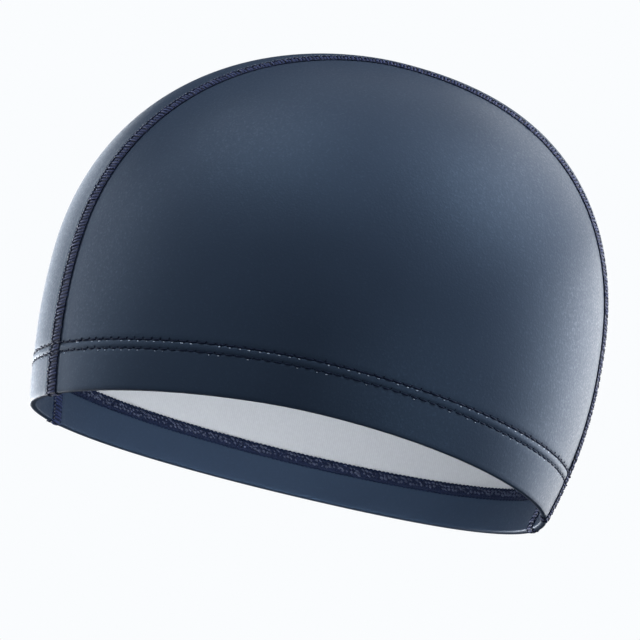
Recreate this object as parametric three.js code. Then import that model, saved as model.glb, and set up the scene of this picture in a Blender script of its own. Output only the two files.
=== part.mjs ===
// A swim cap of coated stretch knit, with the form that a head gives it.
// Two side panels and a centre strip are joined by two flatlock seams that run from the brow over
// the crown to the nape, and the hem is turned up inside and held by a coverstitch.
// Millimetres, +Z up. The front is -Y and the wearer's left is +X. The origin is the middle of the
// head opening, at the level of its edge.
import * as THREE from 'three';

// Form over everything
const capLength = 200;
const capWidth = 156;
const capHeight = 153;
const widestLevel = 53.6;
const frontReach = 98.5; // from the origin to the front, at the widest level
const widestBack = 3; // the cap is widest this far behind the origin
const crownBack = 4.6; // and its crown lies this much further back

// Edge of the head opening
const rimLength = 186;
const rimWidth = 141;
const sideLift = 4.4; // the edge rises over the ears by this

// Roundness: powers of the curves in plan and over the crown, where 2 is an ellipse
const frontPower = 1.75;
const backPower = 2.06;
const frontDomePower = 2.13;
const backDomePower = 2.35;
const sideDomePower = 1.97;
const planSoftness = 10; // radius that softens the plan's curves where they meet

// Cloth and hem
const clothThickness = 1;
const plyGap = 0.3;
const hemHeight = 17.5;
const rowGauge = 3.2; // between the coverstitch's two needle rows
const rowDip = 0.45; // how far the upper row draws the cloth in
const lowerDipShare = 0.6; // of that, at the lower row
const dipWidth = 1.1;

// Seams: how far each lies from the cap's middle, and its thread band
const seamAtFront = 23.2;
const seamAtCrown = 33;
const seamAtBack = 11.8;
const seamWidth = 6;
const seamThread = 0.4;
const bandClearance = 0.45; // from a seam's broad bands to the cloth, which curves towards the inner one
const seamWeb = 0.6;

// Looper band inside the hem
const looperWidth = 4.9;
const looperOverlap = 0.4; // reaches this far above the facing's raw edge
const looperThread = 0.6;

// Between pieces that lie on each other
const clearance = 0.3;

// Steps of the surfaces
const wallSteps = 4;
const domeSteps = 13;
const foldSteps = 4;
const sideColumns = 18;
const stripColumns = 6;
const lastDomeAngle = THREE.MathUtils.degToRad(87);
const probeStep = 0.5; // from a point to the places that a normal or a seam's way across is taken from
const halvings = 40; // of the way from inside to outside, to find the surface
const weldsPerMillimetre = 1e4; // points closer than this are one

const foldRadius = clothThickness + plyGap / 2;
const facingInset = 2 * foldRadius;
const edgeGap = seamWeb / 2 + clearance;
const looperFoot = hemHeight + looperOverlap - looperWidth;
const FRONT = -1;
const BACK = 1;

const knit = { color: 0x2e3b52, roughness: 0.42, metalness: 0 };
const thread = { color: 0x1d2440, roughness: 0.75, metalness: 0 };

// Half sizes of the plan at a level, to the front, the back and the sides, and the y of its middle.
function planAt(level) {
  const below = Math.max(0, 1 - level / widestLevel) ** 2;
  const above = THREE.MathUtils.clamp((level - widestLevel) / (capHeight - widestLevel), 0, 1);
  const dome = (power) => (1 - above ** power) ** (1 / power);
  const front = frontReach + widestBack;
  const back = capLength - front;
  const side = capWidth / 2;
  const frontShare = dome(frontDomePower);
  const backShare = dome(backDomePower);
  return {
    front: (front - (front - rimLength / 2 - widestBack) * below) * frontShare,
    back: (back - (back - rimLength / 2 + widestBack) * below) * backShare,
    side: (side - (side - rimWidth / 2) * below) * dome(sideDomePower),
    middle: widestBack + crownBack * (1 - (frontShare + backShare) / 2),
  };
}

// A share of 0 in the middle and 1 at the reach, soft near the middle.
function share(value, reach, power) {
  const soft = planSoftness ** power;
  const whole = Math.hypot(reach, planSoftness) ** power - soft;
  return (Math.hypot(value, planSoftness) ** power - soft) / whole;
}

function isInside(point) {
  if (point.z >= capHeight) {
    return false;
  }
  const plan = planAt(point.z);
  const y = point.y - plan.middle;
  const reach = y < 0 ? plan.front : plan.back;
  const power = y < 0 ? frontPower : backPower;
  return share(point.x, plan.side, power) + share(y, reach, power) < 1;
}

// The place where a line from inside the cap leaves its form.
function leave(start, direction) {
  let near = 0;
  let far = 2 * capLength;
  for (let halving = 0; halving < halvings; halving += 1) {
    const middle = (near + far) / 2;
    if (isInside(start.clone().addScaledVector(direction, middle))) {
      near = middle;
    } else {
      far = middle;
    }
  }
  return start.clone().addScaledVector(direction, near);
}

// Outward normal of the form, from four places close around the point.
function normalAt(point) {
  const heart = new THREE.Vector3(0, widestBack, widestLevel);
  const out = point.clone().sub(heart).normalize();
  const pointsAside = Math.abs(out.x) > Math.abs(out.y);
  const helper = pointsAside ? new THREE.Vector3(0, 1, 0) : new THREE.Vector3(1, 0, 0);
  const across = helper.cross(out).normalize();
  const along = out.clone().cross(across);
  const near = (side, step) => {
    const aim = point.clone().addScaledVector(side, step).sub(heart).normalize();
    return leave(heart, aim);
  };
  const first = near(across, probeStep).sub(near(across, -probeStep));
  const second = near(along, probeStep).sub(near(along, -probeStep));
  return first.cross(second).normalize();
}

// How far the needle rows draw the cloth in at a level.
function dipAt(level) {
  const bump = (row) => Math.exp(-(((level - row) / dipWidth) ** 2));
  return rowDip * (bump(hemHeight) + lowerDipShare * bump(hemHeight - rowGauge));
}

// A place on a station: height is measured out of the cloth's right side.
function placeOn(station, base, height) {
  const normal = normalAt(base);
  const up = new THREE.Vector3(0, 0, 1).projectOnPlane(normal).normalize();
  const place = base.clone();
  place.addScaledVector(normal, height * Math.cos(station.turn) - station.inset - dipAt(station.level));
  place.addScaledVector(up, station.drop - height * Math.sin(station.turn));
  const liftShare = Math.max(0, 1 - station.level / widestLevel);
  place.z += sideLift * (place.x / (rimWidth / 2)) ** 2 * liftShare;
  return place;
}

// Stations follow the cloth from the top of its facing, down inside, round the edge, up the
// outside and over the dome. A dome station keeps the widest level and has an angle above it.
function station(level, { angle = 0, inset = 0, drop = 0, turn = 0 } = {}) {
  return { level, angle, inset, drop, turn };
}

function hemLevels() {
  const foot = looperFoot - clearance;
  return [hemHeight, hemHeight - rowGauge / 2, hemHeight - rowGauge, foot, (foot + foldRadius) / 2];
}

function clothStations() {
  const facing = hemLevels().map((level) => station(level, { inset: facingInset, turn: Math.PI }));
  const fold = [];
  for (let step = 0; step <= foldSteps; step += 1) {
    const turn = Math.PI * (1 - step / foldSteps);
    const inset = foldRadius * (1 - Math.cos(turn));
    fold.push(station(foldRadius, { inset, drop: -foldRadius * Math.sin(turn), turn }));
  }
  const hem = hemLevels().reverse().map((level) => station(level));
  const wallFoot = hemHeight + 2 * dipWidth; // clear of the upper row's dip
  const wall = [];
  for (let step = 0; step <= wallSteps; step += 1) {
    wall.push(station(THREE.MathUtils.lerp(wallFoot, widestLevel, step / wallSteps)));
  }
  const dome = [];
  for (let step = 1; step <= domeSteps; step += 1) {
    dome.push(station(widestLevel, { angle: (lastDomeAngle * step) / domeSteps }));
  }
  return [...facing, ...fold, ...hem, ...wall, ...dome];
}

// The surface at a distance x from the cap's middle, at the front or back end of a station.
function surfaceAt(at, end, x) {
  const start = new THREE.Vector3(x, planAt(at.level).middle, at.level);
  return leave(start, new THREE.Vector3(0, end * Math.cos(at.angle), Math.sin(at.angle)));
}

const crownStation = station(widestLevel, { angle: Math.PI / 2 });
const seamTop = surfaceAt(crownStation, FRONT, seamAtCrown).z;

// A seam's distance from the middle, which widens from the edge to the crown.
function seamX(at, end) {
  const height = at.level + (seamTop - at.level) * Math.sin(at.angle);
  const foot = end === FRONT ? seamAtFront : seamAtBack;
  return THREE.MathUtils.lerp(seamAtCrown, foot, 1 - height / seamTop);
}

// Surface places across the centre strip, from the right seam to the left one.
function stripRow(at, end) {
  const edge = seamX(at, end) - edgeGap;
  const row = [];
  for (let column = 0; column <= stripColumns; column += 1) {
    row.push(surfaceAt(at, end, edge * ((2 * column) / stripColumns - 1)));
  }
  return row;
}

// Surface places along the left panel, from the front seam round the ear to the back seam.
function panelRow(at) {
  const ends = [FRONT, BACK].map((end) => surfaceAt(at, end, seamX(at, end) + edgeGap));
  const angles = ends.map((point) => Math.atan2(point.x, planAt(point.z).middle - point.y));
  const row = [];
  for (let column = 0; column <= sideColumns; column += 1) {
    const level = THREE.MathUtils.lerp(ends[0].z, ends[1].z, column / sideColumns);
    const angle = THREE.MathUtils.lerp(angles[0], angles[1], column / sideColumns);
    const start = new THREE.Vector3(0, planAt(level).middle, level);
    row.push(leave(start, new THREE.Vector3(Math.sin(angle), -Math.cos(angle), 0)));
  }
  return row;
}

// Joins equal points and drops triangles without area, so that the solid is one closed body.
function closedGeometry(points, triangles) {
  const places = new Map();
  const positions = [];
  const indexOf = points.map((point) => {
    const key = point.toArray().map((value) => Math.round(value * weldsPerMillimetre)).join(' ');
    if (!places.has(key)) {
      places.set(key, places.size);
      positions.push(...point.toArray());
    }
    return places.get(key);
  });
  const kept = triangles
    .map((corners) => corners.map((corner) => indexOf[corner]))
    .filter(([a, b, c]) => a !== b && b !== c && c !== a);
  const geometry = new THREE.BufferGeometry();
  geometry.setAttribute('position', new THREE.Float32BufferAttribute(positions, 3));
  geometry.setIndex(kept.flat());
  geometry.computeVertexNormals();
  return geometry;
}

// Two triangles between neighbouring sections, from corner to corner.
function quad(a, b, c, d) {
  return [[a, b, c], [a, c, d]];
}

// A body through sections with equal numbers of corners. It closes on itself, or gets end faces
// from the given triangles.
function loft(sections, endTriangles) {
  const corners = sections[0].length;
  const spans = endTriangles ? sections.length - 1 : sections.length;
  const triangles = [];
  for (let span = 0; span < spans; span += 1) {
    const here = span * corners;
    const next = ((span + 1) % sections.length) * corners;
    for (let corner = 0; corner < corners; corner += 1) {
      const after = (corner + 1) % corners;
      triangles.push(...quad(here + corner, here + after, next + after, next + corner));
    }
  }
  if (endTriangles) {
    const last = (sections.length - 1) * corners;
    for (const [a, b, c] of endTriangles) {
      triangles.push([a, c, b], [last + a, last + b, last + c]);
    }
  }
  return closedGeometry(sections.flat(), triangles);
}

// End faces of a section that goes along one side of a sheet and back along the other.
function sheetEnds(columns) {
  const triangles = [];
  for (let column = 0; column < columns; column += 1) {
    const back = 2 * columns + 1 - column;
    triangles.push(...quad(column, column + 1, back - 1, back));
  }
  return triangles;
}

// Cloth of even thickness over rows of surface places, each row with its station.
function clothBody(rows, columns) {
  const sections = rows.map(({ at, places }) => {
    const right = places.map((place) => placeOn(at, place, 0));
    const wrong = places.map((place) => placeOn(at, place, -clothThickness));
    return [...right, ...wrong.reverse()];
  });
  return loft(sections, sheetEnds(columns));
}

function panelGeometry() {
  const rows = clothStations().map((at) => ({ at, places: panelRow(at) }));
  return clothBody(rows, sideColumns);
}

function stripGeometry() {
  const front = clothStations().map((at) => ({ at, places: stripRow(at, FRONT) }));
  const back = clothStations().map((at) => ({ at, places: stripRow(at, BACK) }));
  return clothBody([...front, ...back.reverse()], stripColumns);
}

// Section of a seam's thread: across the seam, and height above the cloth's right side. The band
// outside and the one inside are joined by a web between the panels' edges. Inside the hem the
// inner band is left out, and its corners fall together at the foot of the web.
function seamSection(hasInnerBand) {
  const half = seamWidth / 2;
  const web = seamWeb / 2;
  const under = bandClearance;
  const top = bandClearance + seamThread;
  const foot = -(clothThickness - plyGap / 2);
  const innerTop = hasInnerBand ? -(clothThickness + bandClearance) : foot;
  const innerFoot = hasInnerBand ? innerTop - seamThread : foot;
  const innerHalf = hasInnerBand ? half : web;
  const rightSide = [[half, top], [half, under], [web, under], [web, innerTop], [innerHalf, innerTop],
    [innerHalf, innerFoot]];
  const leftSide = rightSide.map(([across, height]) => [-across, height]).reverse();
  return [...rightSide, ...leftSide];
}

// End faces of that section: the outer band, the web and the inner band.
const seamEnds = [
  [0, 1, 2], [0, 2, 9], [0, 9, 11], [9, 10, 11], [2, 3, 8], [2, 8, 9],
  [3, 4, 5], [3, 5, 6], [3, 6, 8], [6, 7, 8],
];

function seamRow(at, end) {
  const x = seamX(at, end);
  const base = surfaceAt(at, end, x);
  const outer = surfaceAt(at, end, x + probeStep);
  const across = outer.sub(surfaceAt(at, end, x - probeStep)).normalize();
  const hasInnerBand = at.turn === 0 && at.level > hemHeight + dipWidth;
  return seamSection(hasInnerBand).map(([aside, height]) => (
    placeOn(at, base, height).addScaledVector(across, aside)
  ));
}

function seamGeometry() {
  const isCovered = (at) => at.turn === Math.PI && at.level > looperFoot - clearance;
  const run = clothStations().filter((at) => !isCovered(at));
  const front = run.map((at) => seamRow(at, FRONT));
  const back = run.map((at) => seamRow(at, BACK));
  return loft([...front, ...back.reverse()], seamEnds);
}

// The looper band's ring: each section goes up its inner side and down its outer side.
function looperGeometry() {
  const head = looperFoot + looperWidth;
  const levels = [looperFoot, hemHeight - rowGauge, hemHeight - rowGauge / 2, head];
  const rings = levels.map((level) => {
    const at = station(level, { inset: facingInset + clearance, turn: Math.PI });
    const side = panelRow(at);
    const mirrored = side.map((place) => new THREE.Vector3(-place.x, place.y, place.z)).reverse();
    const places = [...stripRow(at, FRONT), ...side, ...stripRow(at, BACK).reverse(), ...mirrored];
    const outer = places.map((place) => placeOn(at, place, 0));
    const inner = places.map((place) => placeOn(at, place, looperThread));
    return { outer, inner };
  });
  const sections = rings[0].outer.map((_, index) => [
    ...rings.map((ring) => ring.inner[index]),
    ...rings.map((ring) => ring.outer[index]).reverse(),
  ]);
  return loft(sections);
}

// The same body on the other side of the cap, with its faces still pointing out.
function mirrored(geometry) {
  const copy = geometry.clone().scale(-1, 1, 1);
  const index = copy.getIndex();
  for (let first = 0; first < index.count; first += 3) {
    const corner = index.getX(first);
    index.setX(first, index.getX(first + 1));
    index.setX(first + 1, corner);
  }
  copy.computeVertexNormals();
  return copy;
}

function piece(name, geometry, finish) {
  const mesh = new THREE.Mesh(geometry, new THREE.MeshStandardMaterial(finish));
  mesh.name = name;
  return mesh;
}

function swimCap() {
  const cap = new THREE.Group();
  const panel = panelGeometry();
  const seam = seamGeometry();
  cap.add(piece('left_panel', panel, knit));
  cap.add(piece('right_panel', mirrored(panel), knit));
  cap.add(piece('centre_strip', stripGeometry(), knit));
  cap.add(piece('left_seam', seam, thread));
  cap.add(piece('right_seam', mirrored(seam), thread));
  cap.add(piece('hem_looper_band', looperGeometry(), thread));
  return cap;
}

export default swimCap();
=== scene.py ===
"""A swim cap of coated stretch knit, in the form that a head gives it.

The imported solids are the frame. Each piece of cloth and each band of thread is built again over
its solid, at the same place and size, with the fine shape and finish of the real one: puckered
needle rows, flatlock seams laid from single threads, and a looper band inside the hem.
"""

import logging
import math
from dataclasses import dataclass
from enum import Enum

import bpy
import numpy as np
from mathutils import Matrix, Vector, noise

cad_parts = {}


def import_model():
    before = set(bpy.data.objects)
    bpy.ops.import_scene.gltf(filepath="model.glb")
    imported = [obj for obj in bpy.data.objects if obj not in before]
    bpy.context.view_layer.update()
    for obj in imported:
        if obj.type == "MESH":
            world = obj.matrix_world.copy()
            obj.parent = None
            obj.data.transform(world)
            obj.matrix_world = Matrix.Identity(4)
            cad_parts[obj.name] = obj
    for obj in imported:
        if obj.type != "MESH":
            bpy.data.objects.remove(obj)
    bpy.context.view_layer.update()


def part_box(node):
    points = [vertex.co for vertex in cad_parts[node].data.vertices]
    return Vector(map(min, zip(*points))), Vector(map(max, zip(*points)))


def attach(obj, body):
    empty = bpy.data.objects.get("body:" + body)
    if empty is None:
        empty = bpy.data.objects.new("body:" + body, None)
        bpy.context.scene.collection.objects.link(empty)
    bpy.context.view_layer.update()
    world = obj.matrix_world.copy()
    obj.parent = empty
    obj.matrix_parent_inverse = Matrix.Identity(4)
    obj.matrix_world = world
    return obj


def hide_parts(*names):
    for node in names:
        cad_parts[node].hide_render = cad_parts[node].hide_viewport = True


LOG = logging.getLogger("swim_cap")
MM = 0.001
BODY = "root"


class End(Enum):
    """The two ends of the cap's middle line, as the sign of y."""

    FRONT = -1
    BACK = 1


class Side(Enum):
    """The wearer's two sides, as the sign of x."""

    LEFT = 1
    RIGHT = -1


def unit(vectors: np.ndarray) -> np.ndarray:
    """Vectors of length one, and zero where there is no direction.

    Args:
        vectors: any array whose last axis holds x, y and z.

    Returns:
        An array of the same shape.
    """
    size = np.linalg.norm(vectors, axis=-1, keepdims=True)
    return np.where(size > 1e-9, vectors / np.maximum(size, 1e-9), 0.0)


def ease(value: np.ndarray, low: float, high: float) -> np.ndarray:
    """A smooth step from 0 at low to 1 at high.

    Args:
        value: where it is read.
        low: end of the zeros.
        high: start of the ones.

    Returns:
        The step at each value.
    """
    share = np.clip((value - low) / (high - low), 0, 1)
    return share * share * (3 - 2 * share)


def bump(value: np.ndarray, width: float) -> np.ndarray:
    """A round hill that is 1 at zero.

    Args:
        value: distance from the hill's middle.
        width: distance at which the hill has fallen to about a third.

    Returns:
        The hill at each value.
    """
    return np.exp(-((value / width) ** 2))


def speckle(points: np.ndarray, grain: float, seed: float) -> np.ndarray:
    """Smooth noise from -1 to 1 at points in space.

    Args:
        points: places in millimetres, with x, y and z on the last axis.
        grain: size of a feature in millimetres.
        seed: moves the noise, so that two of them differ.

    Returns:
        One value for each point.
    """
    shape = points.shape[:-1]
    scaled = (points.reshape(-1, 3) / grain + seed).tolist()
    return np.array([noise.noise(Vector(p)) for p in scaled]).reshape(shape)


def scattered(points: np.ndarray, ways: list[np.ndarray], amount: float, seed: int) -> np.ndarray:
    """Points moved a little along their own ways, as hand and machine leave them.

    Args:
        points: places in millimetres.
        ways: unit vectors for each point.
        amount: usual size of a move in millimetres.
        seed: number that sets the moves.

    Returns:
        The moved points.
    """
    chance = np.random.default_rng(seed)
    moved = points.copy()
    for way in ways:
        moved += way * chance.normal(0, amount, len(points))[:, None]
    return moved


@dataclass(frozen=True)
class Stations:
    """Rows that follow the cloth from its facing's top, round the edge and over the dome.

    A row has a level, or the widest level and an angle above it. Inset and drop move it from the
    form's surface, and turn is how far the cloth's right side has turned from facing outwards.
    """

    level: np.ndarray
    angle: np.ndarray
    inset: np.ndarray
    drop: np.ndarray
    turn: np.ndarray

    @classmethod
    def at(cls, level: np.ndarray, angle: float = 0.0, inset: float = 0.0, drop: float = 0.0,
           turn: float = 0.0) -> "Stations":
        """Rows with the given values, each one number or one for each row."""
        parts = np.broadcast_arrays(level, angle, inset, drop, turn)
        return cls(*(np.atleast_1d(part).astype(float) for part in parts))

    @classmethod
    def joined(cls, *runs: "Stations") -> "Stations":
        """The rows of several runs, one after another."""
        names = ("level", "angle", "inset", "drop", "turn")
        return cls(*(np.concatenate([getattr(run, name) for run in runs]) for name in names))

    def pick(self, chosen: np.ndarray) -> "Stations":
        """The rows that an index or mask chooses."""
        return Stations(self.level[chosen], self.angle[chosen], self.inset[chosen],
                        self.drop[chosen], self.turn[chosen])

    def column(self, values: np.ndarray) -> np.ndarray:
        """Row values with a second axis, to go with a grid."""
        return values[:, None]


@dataclass(frozen=True)
class CapForm:
    """The cap's form and hem, in millimetres, as its solids have them."""

    length: float
    width: float
    height: float
    front_reach: float
    widest_level: float = 53.6
    widest_back: float = 3.0
    crown_back: float = 4.6
    rim_length: float = 186.0
    rim_width: float = 141.0
    side_lift: float = 4.4
    front_power: float = 1.75
    back_power: float = 2.06
    front_dome_power: float = 2.13
    back_dome_power: float = 2.35
    side_dome_power: float = 1.97
    softness: float = 10.0
    cloth: float = 1.0
    ply_gap: float = 0.3
    hem: float = 17.5
    gauge: float = 3.2
    row_dip: float = 0.22  # shallower than the solid's, which stands for the stitches' puckers too
    lower_dip_share: float = 0.6
    dip_width: float = 1.1
    seam_at_front: float = 23.2
    seam_at_crown: float = 33.0
    seam_at_back: float = 11.8
    fold_drop: float = 0.6  # a turned edge is flatter than the solid's half circle

    @classmethod
    def from_frame(cls) -> "CapForm":
        """The form over everything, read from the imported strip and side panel."""
        strip_low, strip_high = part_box("centre_strip")
        _, panel_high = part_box("left_panel")
        return cls(
            length=(strip_high.y - strip_low.y) / MM,
            width=2 * panel_high.x / MM,
            height=strip_high.z / MM,
            front_reach=-strip_low.y / MM,
        )

    @property
    def fold_radius(self) -> float:
        """Outer radius of the fold at the edge."""
        return self.cloth + self.ply_gap / 2

    @property
    def facing_inset(self) -> float:
        """How far inside the outer face the facing's right side lies."""
        return 2 * self.fold_radius

    def fold(self, count: int) -> Stations:
        """Rows round the edge, from the facing to the outer face."""
        turn = np.linspace(math.pi, 0, count)
        return Stations.at(self.fold_drop, inset=self.fold_radius * (1 - np.cos(turn)),
                           drop=-self.fold_drop * np.sin(turn), turn=turn)

    def plan(self, level: np.ndarray) -> tuple[np.ndarray, np.ndarray, np.ndarray, np.ndarray]:
        """Half sizes of the plan at a level.

        Args:
            level: heights above the edge.

        Returns:
            The reach to the front, to the back and to the sides, and the y of the middle.
        """
        below = np.maximum(0, 1 - level / self.widest_level) ** 2
        rise = (level - self.widest_level) / (self.height - self.widest_level)
        above = np.clip(rise, 0, 1)
        front = self.front_reach + self.widest_back
        back = self.length - front
        side = self.width / 2
        front_share = (1 - above ** self.front_dome_power) ** (1 / self.front_dome_power)
        back_share = (1 - above ** self.back_dome_power) ** (1 / self.back_dome_power)
        side_share = (1 - above ** self.side_dome_power) ** (1 / self.side_dome_power)
        rim = self.rim_length / 2
        return (
            (front - (front - rim - self.widest_back) * below) * front_share,
            (back - (back - rim + self.widest_back) * below) * back_share,
            (side - (side - self.rim_width / 2) * below) * side_share,
            self.widest_back + self.crown_back * (1 - (front_share + back_share) / 2),
        )

    def share(self, value: np.ndarray, reach: np.ndarray, power: np.ndarray) -> np.ndarray:
        """A share of 0 in the middle and 1 at the reach, soft near the middle."""
        soft = self.softness ** power
        whole = np.hypot(reach, self.softness) ** power - soft
        return (np.hypot(value, self.softness) ** power - soft) / np.maximum(whole, 1e-9)

    def is_inside(self, points: np.ndarray) -> np.ndarray:
        """True for each point inside the form."""
        front, back, side, middle = self.plan(points[..., 2])
        y = points[..., 1] - middle
        ahead = y < 0
        power = np.where(ahead, self.front_power, self.back_power)
        reach = np.where(ahead, front, back)
        full = self.share(points[..., 0], side, power) + self.share(y, reach, power)
        return (points[..., 2] < self.height) & (full < 1)

    def leave(self, start: np.ndarray, direction: np.ndarray) -> np.ndarray:
        """Where lines from inside the cap leave its form.

        Args:
            start: points inside the form.
            direction: unit vectors.

        Returns:
            The points on the surface.
        """
        near = np.zeros(start.shape[:-1])
        far = np.full(start.shape[:-1], 2 * self.length)
        for _ in range(34):
            middle = (near + far) / 2
            inside = self.is_inside(start + direction * middle[..., None])
            near, far = np.where(inside, middle, near), np.where(inside, far, middle)
        return start + direction * near[..., None]

    def normal(self, points: np.ndarray) -> np.ndarray:
        """Outward unit normals of the form at points on it."""
        heart = np.array([0.0, self.widest_back, self.widest_level])
        out = unit(points - heart)
        aside = (np.abs(out[..., 0]) > np.abs(out[..., 1]))[..., None]
        helper = np.where(aside, [0.0, 1.0, 0.0], [1.0, 0.0, 0.0])
        across = unit(np.cross(helper, out))
        along = np.cross(out, across)
        start = np.broadcast_to(heart, points.shape)
        spread = [
            self.leave(start, unit(points + axis * 0.5 - heart))
            - self.leave(start, unit(points - axis * 0.5 - heart))
            for axis in (across, along)
        ]
        return unit(np.cross(*spread))

    def dip(self, level: np.ndarray) -> np.ndarray:
        """How far the needle rows draw both plies in at a level."""
        upper = bump(level - self.hem, self.dip_width)
        lower = bump(level - self.hem + self.gauge, self.dip_width)
        return self.row_dip * (upper + self.lower_dip_share * lower)

    def place(self, rows: Stations, base: np.ndarray, height: np.ndarray) -> np.ndarray:
        """Points at a height out of the cloth's right side.

        Args:
            rows: one station for each row of the grid.
            base: the grid's places on the form, rows by columns by three.
            height: heights, one number or one for each place.

        Returns:
            The points, in millimetres.
        """
        normal = self.normal(base)
        upright = np.array([0.0, 0.0, 1.0])
        rise = unit(upright - normal * normal[..., 2:3])
        inset = rows.column(rows.inset + self.dip(rows.level))
        out = height * rows.column(np.cos(rows.turn)) - inset
        up = rows.column(rows.drop) - height * rows.column(np.sin(rows.turn))
        points = base + normal * out[..., None] + rise * up[..., None]
        share = np.maximum(0, 1 - rows.level / self.widest_level)
        lift = (points[..., 0] / (self.rim_width / 2)) ** 2 * rows.column(share)
        points[..., 2] += self.side_lift * lift
        return points

    def surface(self, rows: Stations, end: End, x: np.ndarray) -> np.ndarray:
        """The form at distances x from the middle, on each row at one end.

        Args:
            rows: the stations.
            end: the front or the back.
            x: a grid of distances, one row for each station.

        Returns:
            Places on the form, of the grid's shape.
        """
        ones = np.ones_like(x)
        level = rows.column(rows.level) * ones
        start = np.stack([x, self.plan(level)[3], level], -1)
        angle = rows.column(rows.angle) * ones
        direction = np.stack([0 * x, end.value * np.cos(angle), np.sin(angle)], -1)
        return self.leave(start, direction)

    def seam_x(self, rows: Stations, end: End) -> np.ndarray:
        """Each row's distance from the middle to the seam, which widens towards the crown."""
        crown = Stations.at(self.widest_level, angle=math.pi / 2)
        top = self.surface(crown, End.FRONT, np.array([[self.seam_at_crown]]))[0, 0, 2]
        height = rows.level + (top - rows.level) * np.sin(rows.angle)
        foot = self.seam_at_front if end is End.FRONT else self.seam_at_back
        return self.seam_at_crown + (foot - self.seam_at_crown) * (1 - height / top)

    def panel_rows(self, rows: Stations, shares: np.ndarray, gap: float) -> np.ndarray:
        """Places on the left panel, from the front seam round the ear to the back seam.

        Args:
            rows: the stations.
            shares: each column's share of the way round.
            gap: distance from the seam's middle to the panel's edge.

        Returns:
            Places on the form, rows by columns by three.
        """
        levels, angles = [], []
        for end in End:
            edge = self.surface(rows, end, rows.column(self.seam_x(rows, end) + gap))[:, 0]
            levels.append(edge[:, 2])
            angles.append(np.arctan2(edge[:, 0], self.plan(edge[:, 2])[3] - edge[:, 1]))
        level = levels[0][:, None] + (levels[1] - levels[0])[:, None] * shares
        angle = angles[0][:, None] + (angles[1] - angles[0])[:, None] * shares
        start = np.stack([0 * level, self.plan(level)[3], level], -1)
        return self.leave(start, np.stack([np.sin(angle), -np.cos(angle), 0 * angle], -1))

    def strip_rows(self, rows: Stations, end: End, shares: np.ndarray, gap: float) -> np.ndarray:
        """Places across the strip at one end, for shares from -1 to 1 of its half width."""
        half = self.seam_x(rows, end) - gap
        return self.surface(rows, end, half[:, None] * shares)

    def hem_ring(self, rows: Stations, step: float) -> np.ndarray:
        """Half the ring round the head opening, from the front middle by the left to the back.

        Args:
            rows: stations at hem levels.
            step: distance between places, roughly.

        Returns:
            Places on the form, one row of them for each station.
        """
        turns = np.linspace(0, math.pi, round(math.pi * self.rim_length / 2 / step))
        level = rows.column(rows.level) * np.ones_like(turns)
        start = np.stack([0 * level, self.plan(level)[3], level], -1)
        direction = np.stack([np.sin(turns), -np.cos(turns), 0 * turns], -1)
        return self.leave(start, np.broadcast_to(direction, start.shape))


@dataclass(frozen=True)
class HemStitching:
    """The coverstitch that holds the hem, in millimetres, and how it puckers the cloth."""

    form: CapForm
    pitch_wanted: float = 3.4
    groove: float = 0.16
    hole: float = 0.3
    puff: float = 0.14
    tuft: float = 0.14
    ripple: float = 0.05
    step_in: float = 0.14
    line_width: float = 0.3
    hole_length: float = 0.55
    lower_share: float = 0.75
    tuft_above: float = 0.75
    tuft_width: float = 0.4
    puff_width: float = 0.95
    ripple_reach: float = 1.9

    def half_ring(self) -> tuple[np.ndarray, np.ndarray]:
        """The upper row's way round half the cap.

        Returns:
            Places on the form, and how far along each one lies.
        """
        ring = self.form.hem_ring(Stations.at(self.form.hem), 0.5)[0]
        steps = np.linalg.norm(np.diff(ring, axis=0), axis=-1)
        return ring, np.concatenate([[0.0], np.cumsum(steps)])

    @property
    def stitches(self) -> int:
        """Number of stitches on half the ring, a whole one so that both halves meet."""
        return round(self.half_ring()[1][-1] / self.pitch_wanted)

    @property
    def pitch(self) -> float:
        """Length of a stitch."""
        return self.half_ring()[1][-1] / self.stitches

    def along(self, places: np.ndarray) -> np.ndarray:
        """How far round from the front middle each place lies, by its plan angle."""
        ring, run = self.half_ring()
        middle = self.form.plan(ring[:, 2])[3]
        turns = np.arctan2(np.abs(ring[:, 0]), middle - ring[:, 1])
        own_middle = self.form.plan(places[..., 2])[3]
        own = np.arctan2(np.abs(places[..., 0]), own_middle - places[..., 1])
        return np.interp(own, turns, run)

    def relief(self, rows: Stations, places: np.ndarray) -> np.ndarray:
        """Height of the outer face's puckers over the hem.

        Args:
            rows: stations of the grid.
            places: the grid's places on the form.

        Returns:
            Heights in millimetres, out of the cloth's right side.
        """
        form = self.form
        level = rows.column(rows.level) + 0 * places[..., 2]
        outside = rows.column((rows.turn < 0.1) & (rows.angle < 1e-6))
        phase = self.along(places) / self.pitch
        wander = speckle(places, 4.0, 3.1)
        hole = bump((phase - np.round(phase)) * self.pitch, self.hole_length)
        total = np.zeros(places.shape[:-1])
        for row, depth in ((form.hem, 1.0), (form.hem - form.gauge, self.lower_share)):
            line = bump(level - row - 0.08 * wander, self.line_width)
            total -= depth * (self.groove + self.hole * hole) * line
            above = bump(level - row + self.tuft_above, self.tuft_width)
            total += depth * self.tuft * hole * above
        between = bump(level - form.hem + form.gauge / 2, self.puff_width)
        total += self.puff * between * (1 - 0.35 * hole)
        for edge, sign in ((form.hem, 1), (form.hem - form.gauge, -1)):
            away = sign * (level - edge)
            fan = np.cos(2 * math.pi * (phase + 0.35 * wander)) * (0.7 + 0.5 * wander)
            fade = np.exp(-np.maximum(away, 0) / self.ripple_reach)
            total += self.ripple * fan * ease(away, 0.2, 1.0) * fade
        total -= self.step_in * ease(level, form.hem - 0.5, form.hem + 1.2) * (
            1 - ease(level, form.hem + 3, form.hem + 16))
        return np.where(outside, total, 0.0)


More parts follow.
